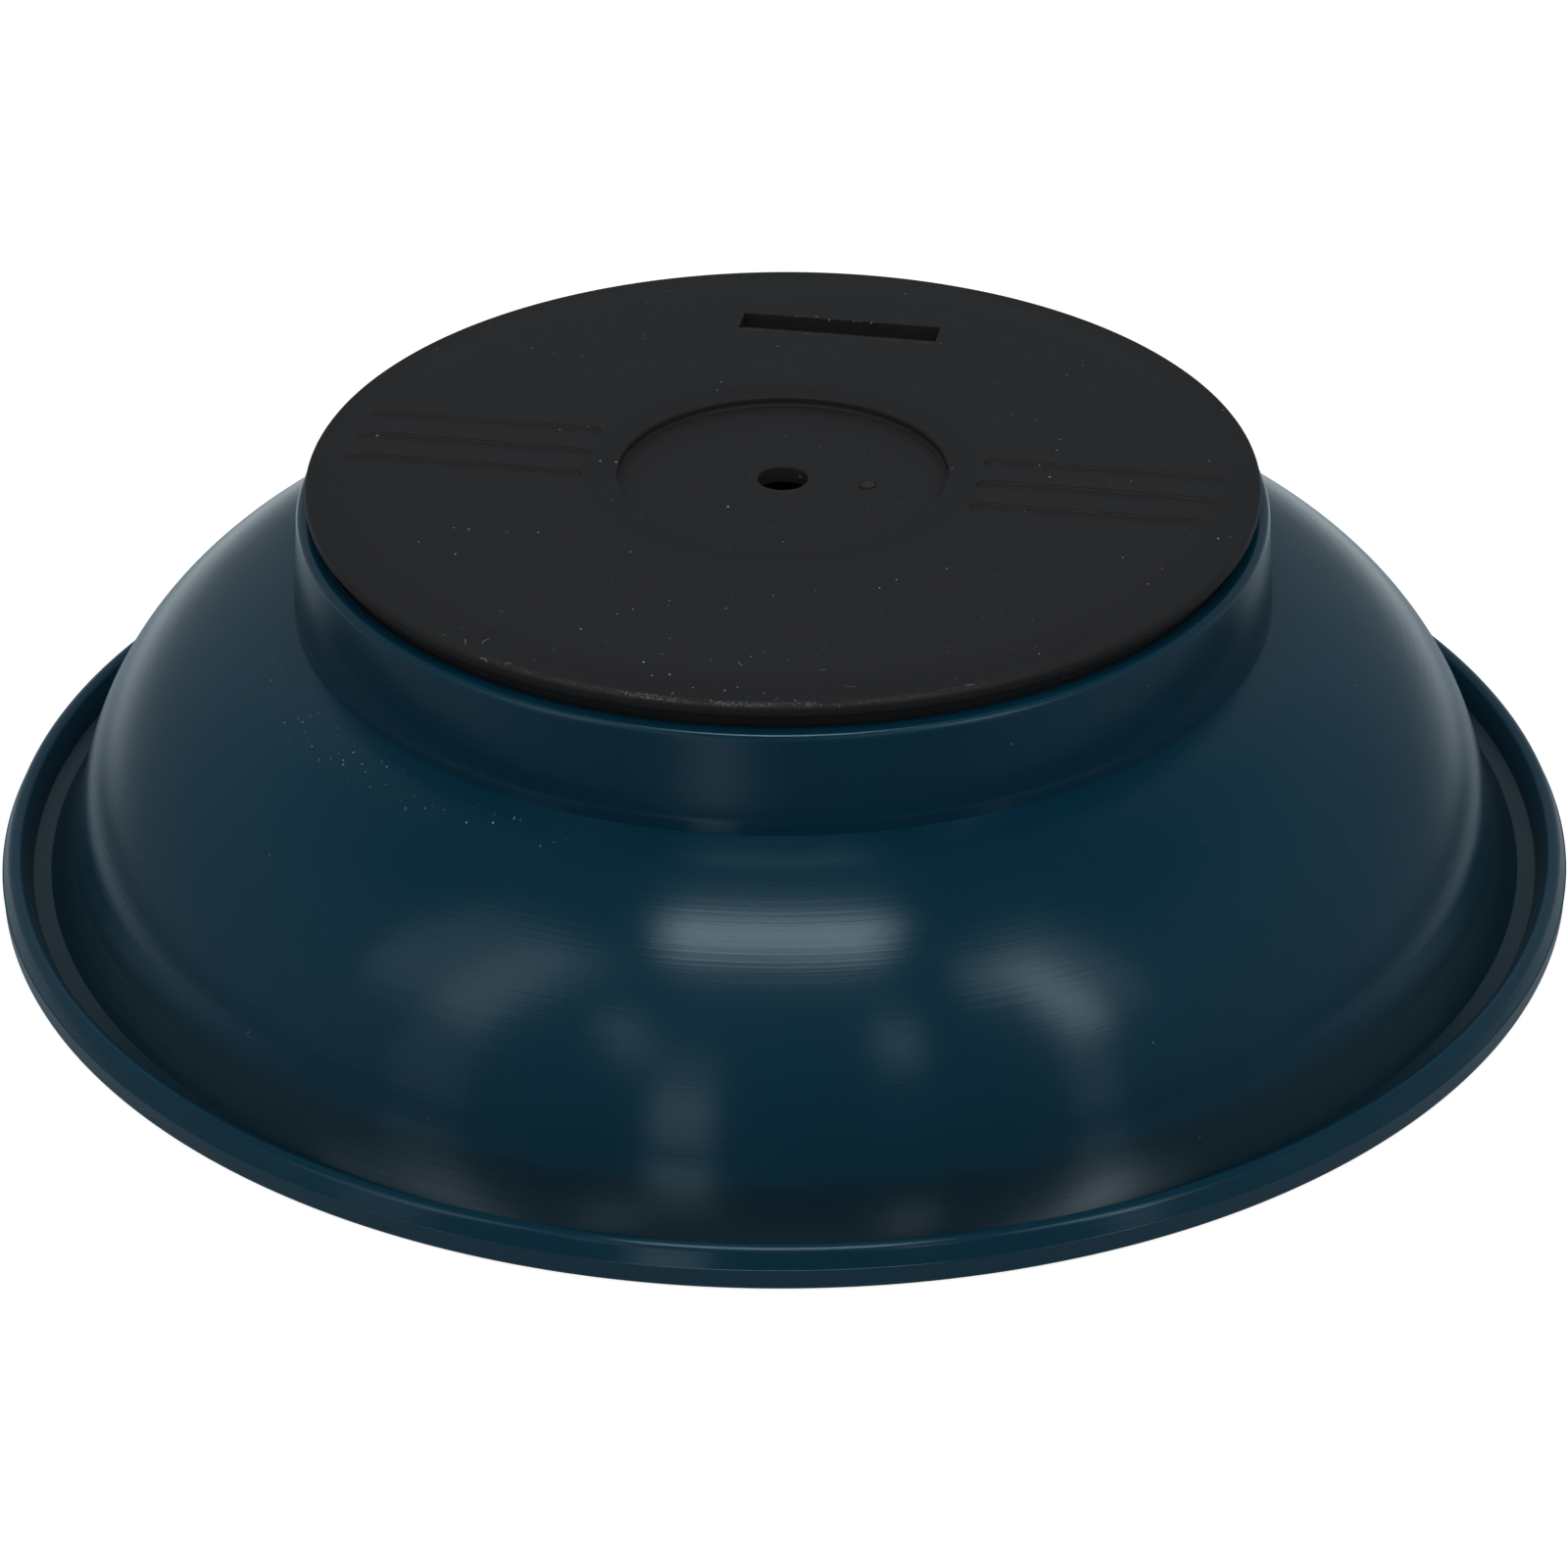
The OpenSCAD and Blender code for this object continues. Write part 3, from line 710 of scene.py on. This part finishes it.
plate_path = outline(
    [[PLATE_IN, BOSS_Z], [9.6, BOSS_Z]],
    arc(9.6, BOSS_Z + 0.4, 0.4, 270, CUP_HIGH, 5),
    arc(11.4, MAGNET_Z - 0.4, 0.4, CUP_LOW, 90, 5),
    steps_between([11.4, MAGNET_Z], [PLATE_R - 0.25, MAGNET_Z], 6),
    arc(PLATE_R - 0.25, MAGNET_Z + 0.25, 0.25, 270, 360, 4),
    arc(PLATE_R - 0.4, PLATE_Z - 0.4, 0.4, 0, 90, 4),
    steps_between([PLATE_R - 0.4, PLATE_Z], [10.6, PLATE_Z], 6),
    arc(10.6, PLATE_Z - 0.5, 0.5, 90, CUP_LOW, 5),
    arc(8.7, SEAT_Z + 0.35, 0.35, CUP_HIGH, 270, 5),
    [[PLATE_IN, SEAT_Z]],
)
plate = shade(revolve("steel_plate", plate_path, 240, closed=True), 40)
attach(plate, "bowl_body")
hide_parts("back_plate")
print("magnet_ring:", len(magnet.data.polygons), "faces")
print("steel_plate:", len(plate.data.polygons), "faces")


# %% Cut the screw
def thread(name, z0, z1, core, crest, pitch, turns=40, fine=10):
    """A threaded rod: its radius is core + (crest - core) times the sharp part of a wave.

    At angle t and height z the wave is 1 - |2 f - 1|, with f the fraction of
    (z - pitch t / 2 pi) / pitch. The thread fades out at its top, and the rod tapers to its tip."""
    rows = int((z1 - z0) / pitch * fine)
    t = np.linspace(0, 2 * np.pi, turns, endpoint=False)
    z = np.linspace(z0, z1, rows)[:, None]
    f = ((z - pitch * t / (2 * np.pi)) / pitch) % 1.0
    wave = np.clip(1.6 * (1 - np.abs(2 * f - 1)) - 0.6, 0, 1)
    point = np.clip((z - z0) / 1.3, 0.25, 1)
    radius = (core + (crest - core) * wave * np.clip((z1 - z) / 0.5, 0, 1)) * point
    x, y = radius * np.cos(t), radius * np.sin(t)
    points = np.stack([x, y, np.broadcast_to(z, x.shape)], axis=-1).reshape(-1, 3)
    low = list(range(turns - 1, -1, -1))
    high = list(range((rows - 1) * turns, rows * turns))
    return mesh_object(name, points, ring_faces(rows, turns) + [low, high])


HEAD_R, HEAD_Z, HEAD_ROUND = 2.8, 35.7, 0.9
CROSS_HALF, CROSS_DEPTH = (1.5, 0.4), 1.0
TIP_Z, CORE_R, CREST_R, PITCH = 27.42, 1.05, 1.44, 1.1

head_path = outline(
    [[0, SEAT_Z], [HEAD_R - 0.1, SEAT_Z]],
    arc(HEAD_R - 0.1, SEAT_Z + 0.1, 0.1, 270, 360, 3),
    arc(HEAD_R - HEAD_ROUND, HEAD_Z - HEAD_ROUND, HEAD_ROUND, 0, 90, 8),
    [[0, HEAD_Z]],
)
screw = revolve("pan_screw", head_path, 96)
for turned in (20, 110):
    a, b = CROSS_HALF
    cross = block("cross", -a, a, -b, b, HEAD_Z - CROSS_DEPTH, HEAD_Z + 1, turned)
    carve(screw, cross, "DIFFERENCE")
cone = outline([0, HEAD_Z - 1.1], [0.4, HEAD_Z - 0.9], [0.7, HEAD_Z + 1], [0, HEAD_Z + 1])
carve(screw, revolve("cone", cone, 24), "DIFFERENCE")
carve(screw, thread("shank", TIP_Z, SEAT_Z + 0.3, CORE_R, CREST_R, PITCH), "UNION")
shade(screw)
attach(screw, "bowl_body")
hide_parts("magnet_screw")
print("pan_screw:", len(screw.data.polygons), "faces")

# %% [markdown]
# ## The foam pad
#
# The pad is punched from a sheet of closed-cell foam, so its edges are round and its sides bulge
# a little where the punch drew them in. It is stuck under the cover and stays 0.06 mm clear of
# the steel plate.

# %% Punch the foam pad
PAD_IN, PAD_OUT, PAD_LOW, PAD_HIGH, PAD_EDGE = 22.0, 34.0, 36.96, CEILING_Z, 0.3


def wavy(piece, depth, counts):
    """Draws the pad's two sides in towards the middle of its section by up to depth.

    How far depends on the angle round Z, through waves of the given counts."""
    points = points_of(piece) / MM
    angle = np.arctan2(points[:, 1], points[:, 0])
    wave = sum(0.5 + 0.5 * np.sin(n * angle + n) for n in counts) / len(counts)
    middle = (PAD_IN + PAD_OUT) / 2
    radius = np.hypot(points[:, 0], points[:, 1])
    pulled = radius + np.sign(middle - radius) * depth * wave * (np.abs(radius - middle) > 5.5)
    points[:, :2] *= (pulled / radius)[:, None]
    piece.data.vertices.foreach_set("co", (points * MM).ravel())
    return piece


inner, outer = PAD_IN + PAD_EDGE, PAD_OUT - PAD_EDGE
lower, upper = PAD_LOW + PAD_EDGE, PAD_HIGH - PAD_EDGE
pad_path = outline(
    arc(outer, lower, PAD_EDGE, 270, 340, 5),
    arc(outer, upper, PAD_EDGE, 20, 90, 5),
    steps_between([outer - PAD_EDGE, PAD_HIGH], [inner + PAD_EDGE, PAD_HIGH], 14),
    arc(inner, upper, PAD_EDGE, 90, 160, 5),
    arc(inner, lower, PAD_EDGE, 200, 270, 5),
    steps_between([inner + PAD_EDGE, PAD_LOW], [outer - PAD_EDGE, PAD_LOW], 14),
)
pad = wavy(revolve("foam_ring", pad_path, 240, closed=True), 0.18, (3, 7, 16))
shade(pad, 60)
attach(pad, "cover_body")
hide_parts("foam_pad")
print("foam_ring:", len(pad.data.polygons), "faces")

# %% [markdown]
# ## The finishes
#
# Each finish works from the place of a point in the object, in millimetres, so grain, scratches
# and specks have their real size, and a turned cover takes its marks with it. Three patterns
# come back in several finishes: soft noise, round specks of dust and short bent fibres of lint.
# Specks and fibres come from Voronoi cells: each cell has one point of its own, and a random
# colour that gives the mark its size and its angle.

# %% The patterns
def finish(name, **sockets):
    """A new material: gives its tree, its shader and the place of each point in millimetres.

    sockets are plain numbers and colours for the shader's own inputs."""
    made = bpy.data.materials.new(name)
    made.use_nodes = True
    tree = made.node_tree
    tree.nodes.clear()
    titles = {key: key.replace("_", " ").title().replace("Ior", "IOR") for key in sockets}
    skin = add(tree, "BsdfPrincipled", named={titles[key]: sockets[key] for key in sockets})
    add(tree, "OutputMaterial", skin.outputs[0])
    where = add(tree, "TexCoord").outputs["Object"]
    place = add(tree, "VectorMath", where, named={"Scale": 1 / MM}, operation="SCALE").outputs[0]
    return made, tree, skin, place


def split(tree, vector):
    """The three parts of a vector."""
    return add(tree, "SeparateXYZ", vector).outputs


def join(tree, x, y, z):
    """A vector from three parts."""
    return add(tree, "CombineXYZ", x, y, z).outputs[0]


def band(tree, value, start, full, fade, end):
    """1 where value is between full and fade, falling smoothly to 0 at start and at end."""
    return times(tree, step(tree, value, start, full), step(tree, value, fade, end, 1, 0))


def off(tree, value, middle):
    """How far a value is from a middle value, on either side."""
    return maths(tree, "ABSOLUTE", maths(tree, "SUBTRACT", value, middle))


def larger(tree, a, b):
    """The larger one of two shares."""
    return maths(tree, "MAXIMUM", a, b)


def shades(colour, *factors):
    """The same colour made darker or lighter by each factor."""
    return [tuple(factor * v for v in colour) for factor in factors]


def noise(tree, vector, size, detail=2.0, roughness=0.5):
    """Soft noise from 0 to 1 whose lumps are about size across."""
    named = {"Scale": 1 / size, "Detail": detail, "Roughness": roughness}
    return add(tree, "TexNoise", vector, named=named).outputs["Fac"]


def specks(tree, place, cell, radius, least=0.02):
    """Round specks: at most one in each cube of size cell, its radius between least and radius."""
    dots = add(tree, "TexVoronoi", place, named={"Scale": 1 / cell})
    far = maths(tree, "MULTIPLY", dots.outputs["Distance"], cell)
    own = add(tree, "SeparateColor", dots.outputs["Color"]).outputs[0]
    size = maths(tree, "MULTIPLY_ADD", maths(tree, "POWER", own, 2.0), radius - least, least)
    return step(tree, far, times(tree, size, 0.6), size, 1, 0)


def fibres(tree, place, cell, length, width):
    """Short bent fibres on a level face: one in each square of size cell, at its own angle."""
    dots = add(tree, "TexVoronoi", place, named={"Scale": 1 / cell}, voronoi_dimensions="2D")
    own = add(tree, "SeparateColor", dots.outputs["Color"]).outputs
    away = add(tree, "VectorMath", place, dots.outputs["Position"], operation="SUBTRACT").outputs[0]
    angle = maths(tree, "MULTIPLY", own[0], 2 * np.pi)
    turned = add(tree, "VectorRotate", away, named={"Angle": angle}, rotation_type="Z_AXIS").outputs[0]
    x, y, _ = split(tree, turned)
    bent = maths(tree, "SUBTRACT", y, times(tree, maths(tree, "POWER", x, 2.0), 0.6))
    reach = maths(tree, "MULTIPLY_ADD", own[1], length / 2, length / 8)
    inside = step(tree, maths(tree, "ABSOLUTE", x), times(tree, reach, 0.8), reach, 1, 0)
    return times(tree, inside, step(tree, maths(tree, "ABSOLUTE", bent), width / 2, width, 1, 0))


def bump(tree, skin, height, distance):
    """Gives the shader a relief: height from 0 to 1 stands for distance in millimetres."""
    relief = add(tree, "Bump", named={"Strength": 1.0, "Distance": distance * MM, "Height": height})
    fill(tree, skin.inputs["Normal"], relief.outputs[0])


def dress(piece, material):
    """Gives a piece one material."""
    piece.data.materials.clear()
    piece.data.materials.append(material)


print("helpers: finish, split, join, band, off, larger, shades, noise, specks, fibres, bump, dress")

# %% [markdown]
# The bowl's plastic is a deep teal with a soft gloss. The mould was turned on a lathe and left
# fine rings on it, so a lamp's reflection spreads across the rings more than along them: that
# is what the shader's anisotropy does, with its direction taken round Z. The foot ring's wall was
# polished along the axis instead and has upright streaks. Dust lies on it, thickest on the
# shoulder round the foot ring. The channel between the wall and the lip has painted shade, a darker
# colour, and a duller gloss. It is dark in the photograph, and shows too much of the lamps without it.

# %% Teal plastic
# The third colour is painted shade, for the channel between the wall and the lip.
TEAL, DUST, CHANNEL_SHADE_COLOUR = (0.0012, 0.0305, 0.0565), (0.4, 0.44, 0.46), (0.0008, 0.009, 0.016)
DUSTY_SIDE, RELIEF = (-0.62, -0.78, 0.0), 0.004
teal, tree, skin, place = finish("teal_plastic", anisotropic=0.9, ior=1.5)
fill(tree, skin.inputs["Specular Tint"], (0.7, 0.92, 1.0))
fill(tree, skin.inputs["Tangent"], add(tree, "Tangent", direction_type="RADIAL", axis="Z").outputs[0])
x, y, z = split(tree, place)
flat = join(tree, x, y, 0.0)
radius, heading = norm(tree, flat), unit(tree, flat)
across = times(tree, maths(tree, "SUBTRACT", radius, z), 5.0)
lifted = join(tree, 0.0, 0.0, across)
rings = add(tree, "VectorMath", heading, lifted, operation="ADD").outputs[0]
ring_wall = times(tree, step(tree, z, 28.6, 29.2), step(tree, radius, 46.2, 46.5, 1, 0))
upright = noise(tree, join(tree, x, y, times(tree, z, 0.03)), 0.28, 3.0)
turned = noise(tree, rings, 1.1, 4.0, 0.7)
coarse = noise(tree, rings, 2.4, 2.0)
orange_peel = noise(tree, place, 9.0, 1.0)
cloud = noise(tree, place, 17.0, 3.0)

lathe = maths(tree, "MULTIPLY_ADD", ring_wall, -1.0, 1.0)
fill(tree, skin.inputs["Anisotropic Rotation"], times(tree, lathe, 0.25))
height = times(tree, lathe, plus(tree, times(tree, turned, 1.5), times(tree, coarse, 3.5)))
height = plus(tree, height, times(tree, ring_wall, upright, 0.4), times(tree, orange_peel, 4.0))
bump(tree, skin, height, RELIEF)

shoulder = times(tree, band(tree, radius, 47.6, 48.8, 49.8, 52.5), step(tree, z, 20.0, 23.0))
gathered = step(tree, dot(tree, heading, DUSTY_SIDE), 0.86, 0.96)
thick = times(tree, shoulder, gathered, specks(tree, place, 0.6, 0.11))
thin = times(tree, step(tree, noise(tree, place, 6.0), 0.52, 0.62), specks(tree, place, 2.1, 0.1))
dust = larger(tree, thick, thin)
body = mix(tree, cloud, *shades(TEAL, 0.88, 1.1))
# Painted shade: the channel between the wall and the lip is darkened, and its gloss dulled.
shaded_channel = times(tree, band(tree, radius, 67.0, 68.0, 72.0, 72.9), band(tree, z, 1.2, 1.4, 4.0, 8.0))
body = mix(tree, times(tree, shaded_channel, 0.75), body, CHANNEL_SHADE_COLOUR)
fill(tree, skin.inputs["Base Color"], mix(tree, dust, body, DUST))
rough = plus(tree, 0.15, times(tree, cloud, 0.04), times(tree, turned, 0.03), times(tree, shaded_channel, 0.05))
fill(tree, skin.inputs["Roughness"], plus(tree, rough, times(tree, dust, 0.5)))
dress(bowl, teal)
print("teal_plastic:", len(tree.nodes), "nodes")

# %% [markdown]
# The cover is black plastic with a fine spark-eroded grain, which scatters light so widely that
# the face looks like slate. The dip round the recess and the band that slopes to the edge look
# darker in the photograph than their shape alone makes them, so their colour is darkened with
# painted shade. Where the bowl has been dragged on its base, the edge of the face is scuffed to
# broken grey strokes. Dust lies mostly towards the front, and lint clings near the front edge. The
# stub of the gate and the burrs on the slot's far edge are paler, because torn plastic is, and the
# slot's near edge has a painted highlight, broken up by noise.

# %% Black plastic
BLACK, SCUFF = (0.013, 0.0125, 0.0137), (0.17, 0.17, 0.175)
DRAGGED_SIDE = (0.09, -0.996, 0.0)
black, tree, skin, place = finish("black_plastic", ior=1.42)
x, y, z = split(tree, place)
flat = join(tree, x, y, 0.0)
radius, heading = norm(tree, flat), unit(tree, flat)
grain = noise(tree, place, 0.16, 2.0)
cloud = noise(tree, place, 8.0, 4.0)
drag = noise(tree, join(tree, times(tree, x, 0.35), y, z), 0.5, 4.0, 0.65)
scratched = step(tree, drag, 0.66, 0.74)

top_edge = times(tree, band(tree, radius, 43.5, 43.95, 44.2, 44.42), step(tree, z, 39.3, 39.5))
toward = dot(tree, heading, DRAGGED_SIDE)
dragged = plus(tree, step(tree, toward, 0.8, 0.95, 0, 0.15), step(tree, toward, 0.965, 0.99, 0, 0.45))
broken = step(tree, noise(tree, place, 0.22, 2.0), 0.42, 0.6)
patchy = step(tree, noise(tree, place, 3.2, 2.0), 0.25, 0.5)
scuff = times(tree, top_edge, dragged, broken, patchy)

gate = add(tree, "VectorMath", flat, (GATE_X, 0, 0), operation="DISTANCE").outputs["Value"]
stub_face = times(tree, step(tree, gate, 0.6, 0.75, 1, 0), step(tree, z, 38.9, 39.0))
# Painted highlight along the slot's near edge, broken up by noise.
near_edge = step(tree, off(tree, y, SLOT_NEAR - 0.05), 0.05, 0.16, 1, 0)
risen = step(tree, z, COVER_Z + 0.01, COVER_Z + 0.03)
far_edge = times(tree, band(tree, y, 32.2, 32.4, 32.8, 32.9), risen)
in_slot = step(tree, maths(tree, "ABSOLUTE", x), 9.4, 9.7, 1, 0)
slot_edge_highlight = times(tree, near_edge, in_slot, step(tree, noise(tree, place, 1.3), 0.4, 0.6))

settled = step(tree, noise(tree, place, 8.0), 0.45, 0.55)
toward_back = step(tree, y, -6.0, 10.0, 1, 0.35)
dust = times(tree, settled, toward_back, specks(tree, place, 1.3, 0.15))
near_front = times(tree, step(tree, y, -38.0, -34.0, 1, 0.12), step(tree, z, 39.4, 39.6))
tufts = step(tree, noise(tree, place, 7.0), 0.46, 0.55)
lint = times(tree, near_front, fibres(tree, place, 2.6, 1.0, 0.04), tufts)
fluff = larger(tree, dust, times(tree, lint, 0.5))
worn_pale = larger(tree, scuff, far_edge)
pale = larger(tree, fluff, worn_pale)

# Painted shade: the dip round the recess and the band sloping to the edge are mixed towards darker.
lighter, darker = shades(BLACK, 1.25, 0.5)
dip = step(tree, off(tree, radius, 17.0), 0.5, 2.6, 0.35, 0)
shaded = plus(tree, dip, step(tree, radius, 38.0, 42.5, 0, 0.3))
body = mix(tree, cloud, *shades(BLACK, 0.9, 1.12))
body = mix(tree, grain, body, lighter)
body = mix(tree, shaded, body, darker)
body = mix(tree, times(tree, scratched, 0.12), body, SCUFF)
# The gate's stub is paler, as torn plastic is; along the slot's near edge the paler colour is a painted
# highlight.
body = mix(tree, plus(tree, times(tree, stub_face, 0.09), times(tree, slot_edge_highlight, 0.12)), body, SCUFF)
body = mix(tree, worn_pale, body, SCUFF)
fill(tree, skin.inputs["Base Color"], mix(tree, fluff, body, DUST))
rough = plus(tree, 0.54, times(tree, cloud, 0.08), times(tree, grain, 0.08))
fill(tree, skin.inputs["Roughness"], plus(tree, rough, times(tree, pale, 0.2)))
height = plus(tree, times(tree, grain, 0.6), times(tree, drag, 0.5), times(tree, pale, 1.2))
bump(tree, skin, height, 0.01)
dress(cover, black)
print("black_plastic:", len(tree.nodes), "nodes")

# %% [markdown]
# Ferrite is a fired ceramic: dull, nearly black, with fine pores, and with chalky chips where its
# edges were broken. The plate and the screw are zinc-plated steel. The plate was pressed and
# keeps the rolling lines of its sheet, and the screw was rolled and keeps rings.

# %% Ferrite and zinc-plated steel
FERRITE, CHALK, ZINC = (0.045, 0.045, 0.048), (0.13, 0.13, 0.135), (0.56, 0.57, 0.6)
ferrite, tree, skin, place = finish("fired_ferrite", ior=1.8)
x, y, z = split(tree, place)
radius = norm(tree, join(tree, x, y, 0.0))
pores = specks(tree, place, 0.8, 0.28, 0.05)
lumps = noise(tree, place, 2.5, 5.0, 0.6)
rim = larger(tree, step(tree, radius, 35.2, 35.6), step(tree, radius, 16.4, 16.8, 1, 0))
chips = times(tree, rim, step(tree, noise(tree, place, 1.4, 3.0), 0.48, 0.56))
body = mix(tree, lumps, *shades(FERRITE, 0.8, 1.2))
fill(tree, skin.inputs["Base Color"], mix(tree, times(tree, chips, 0.7), body, CHALK))
fill(tree, skin.inputs["Roughness"], plus(tree, 0.62, times(tree, lumps, 0.2)))
bump(tree, skin, plus(tree, lumps, times(tree, pores, -0.8), times(tree, chips, -0.6)), 0.05)
dress(magnet, ferrite)


def zinc_steel(name, stretch, size, relief):
    """Zinc plate over steel: stretch pulls the fine lines out along an axis, size is their width."""
    made, tree, skin, place = finish(name, metallic=1.0)
    drawn = add(tree, "VectorMath", place, stretch, operation="MULTIPLY").outputs[0]
    lines = noise(tree, drawn, size, 3.0, 0.6)
    bloom = noise(tree, place, 3.0, 3.0)
    rough = plus(tree, 0.26, times(tree, bloom, 0.16), times(tree, lines, 0.1))
    fill(tree, skin.inputs["Base Color"], mix(tree, bloom, *shades(ZINC, 1.0, 0.8)))
    fill(tree, skin.inputs["Roughness"], rough)
    bump(tree, skin, lines, relief)
    return made


dress(plate, zinc_steel("zinc_sheet", (0.03, 1.0, 1.0), 0.2, 0.004))
dress(screw, zinc_steel("zinc_screw", (0.3, 0.3, 1.0), 0.12, 0.003))
print("fired_ferrite, zinc_sheet, zinc_screw")

# %% [markdown]
# The foam is closed-cell: its skin is a field of small round hollow cells, whose middles are
# darkened with painted shade, and it takes the light softly, which the sheen gives.

# %% Foam
FOAM, CELL_SHADE, CELL = (0.05, 0.05, 0.052), (0.012, 0.012, 0.013), 0.45
foam, tree, skin, place = finish("closed_cell_foam", sheen_weight=0.25, sheen_roughness=0.6)
cells = add(tree, "TexVoronoi", place, named={"Scale": 1 / CELL}).outputs["Distance"]
lumps = noise(tree, place, 1.6, 3.0)
body = mix(tree, lumps, *shades(FOAM, 0.85, 1.2))
# Painted shade in the middle of each cell's hollow.
body = mix(tree, step(tree, cells, 0.05, 0.25, 0.6, 0), body, CELL_SHADE)
fill(tree, skin.inputs["Base Color"], body)
fill(tree, skin.inputs["Roughness"], plus(tree, 0.85, times(tree, lumps, 0.1)))
bump(tree, skin, plus(tree, cells, times(tree, lumps, 0.8)), 0.08)
dress(pad, foam)
print("closed_cell_foam:", len(tree.nodes), "nodes")
